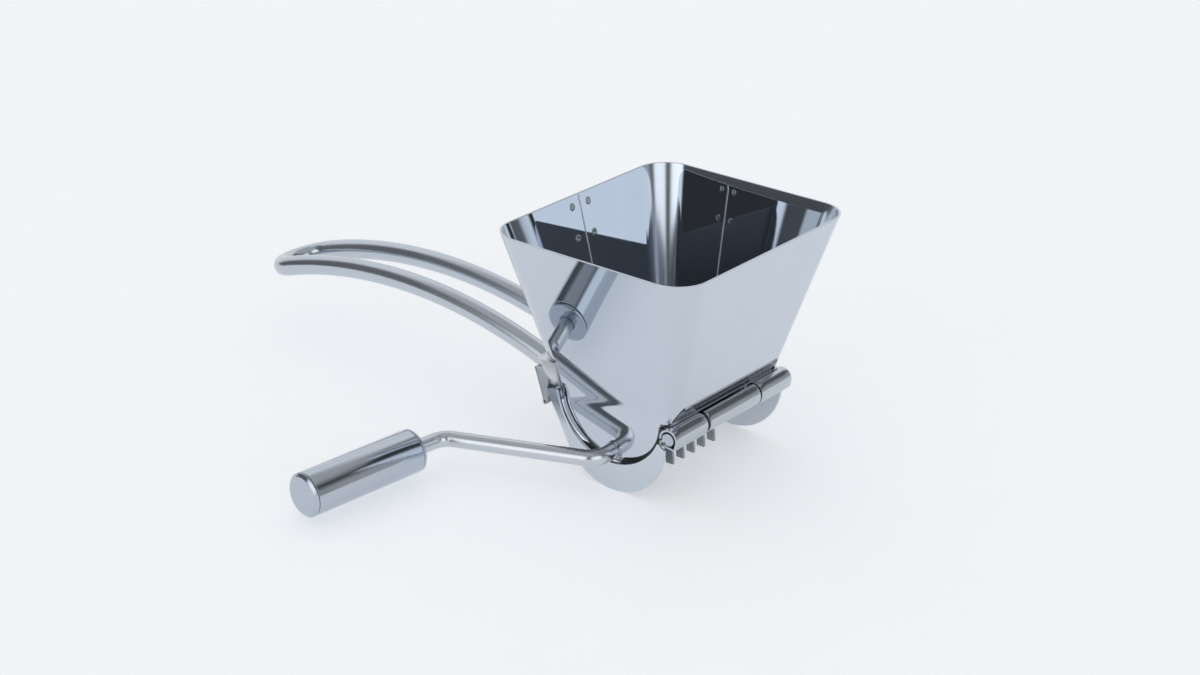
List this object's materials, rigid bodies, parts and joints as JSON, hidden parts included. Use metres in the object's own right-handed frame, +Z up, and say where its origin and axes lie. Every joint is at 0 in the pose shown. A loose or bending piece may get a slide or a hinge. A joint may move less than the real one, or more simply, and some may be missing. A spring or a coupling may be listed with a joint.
{
  "type": "herb_mill",
  "caption": "Hand-cranked herb chopper: flared sheet hopper over a bladed rotor, cradle hinged at the front, looped rod handle and cylindrical crank grip",
  "frame": {"origin": "middle of the overall box in X and Y, at its lowest point, the round bottoms of the cradle cheeks", "axes": "+Z up with the hopper mouth level, +Y towards the tip of the handle, -X towards the crank grip"},
  "size_m": [0.1758, 0.2462, 0.0924],
  "materials": {
    "polished_sheet": "polished stainless sheet, faint drawing marks outside",
    "satin_rod": "satin drawn stainless rod",
    "satin_sheet": "satin stainless sheet",
    "grip_steel": "lengthwise brushed stainless tube",
    "blade_steel": "matte dark hardened steel"
  },
  "bodies": {
    "hopper": {"hopper_shell": "polished_sheet", "weld_seam": "satin_sheet", "spot_welds": "satin_sheet", "hinge_tab": "polished_sheet", "hinge_rod": "satin_rod", "rear_bracket": "satin_sheet", "handle_plate": "satin_sheet", "handle_loop": "satin_rod", "front_comb": "satin_sheet", "rear_comb": "satin_sheet", "crank_side_bush": "satin_rod", "far_side_bush": "satin_rod"},
    "cradle": {"crank_side_cheek": "polished_sheet", "far_side_cheek": "polished_sheet", "cradle_back_wall": "polished_sheet", "crank_side_knuckle": "polished_sheet", "far_side_knuckle": "polished_sheet"},
    "crank": {"crank_rod": "satin_rod", "rotor_core": "satin_rod", "front_blades": "blade_steel", "rear_blades": "blade_steel", "blade_spacers": "satin_rod", "cross_pin": "satin_rod", "shaft_ring": "satin_rod", "spindle_collar": "satin_rod"},
    "grip": {"grip_tube": "grip_steel", "grip_inner_cap": "grip_steel", "grip_outer_cap": "grip_steel"}
  },
  "joints": [
    {"name": "crank_turn", "type": "hinge", "parent": "hopper", "child": "crank", "pos_m": [0.03792, -0.0793, 0.01429], "axis": [1, 0, 0], "continuous": true},
    {"name": "grip_spin", "type": "hinge", "parent": "crank", "child": "grip", "pos_m": [-0.03674, -0.02019, 0.01171], "axis": [-0.9945, 0.1044, -0.0046], "continuous": true},
    {"name": "cradle_swing", "type": "hinge", "parent": "hopper", "child": "cradle", "pos_m": [0.03792, -0.105, 0.02685], "axis": [-1, 0, 0], "range_deg": [0, 95]}
  ]
}
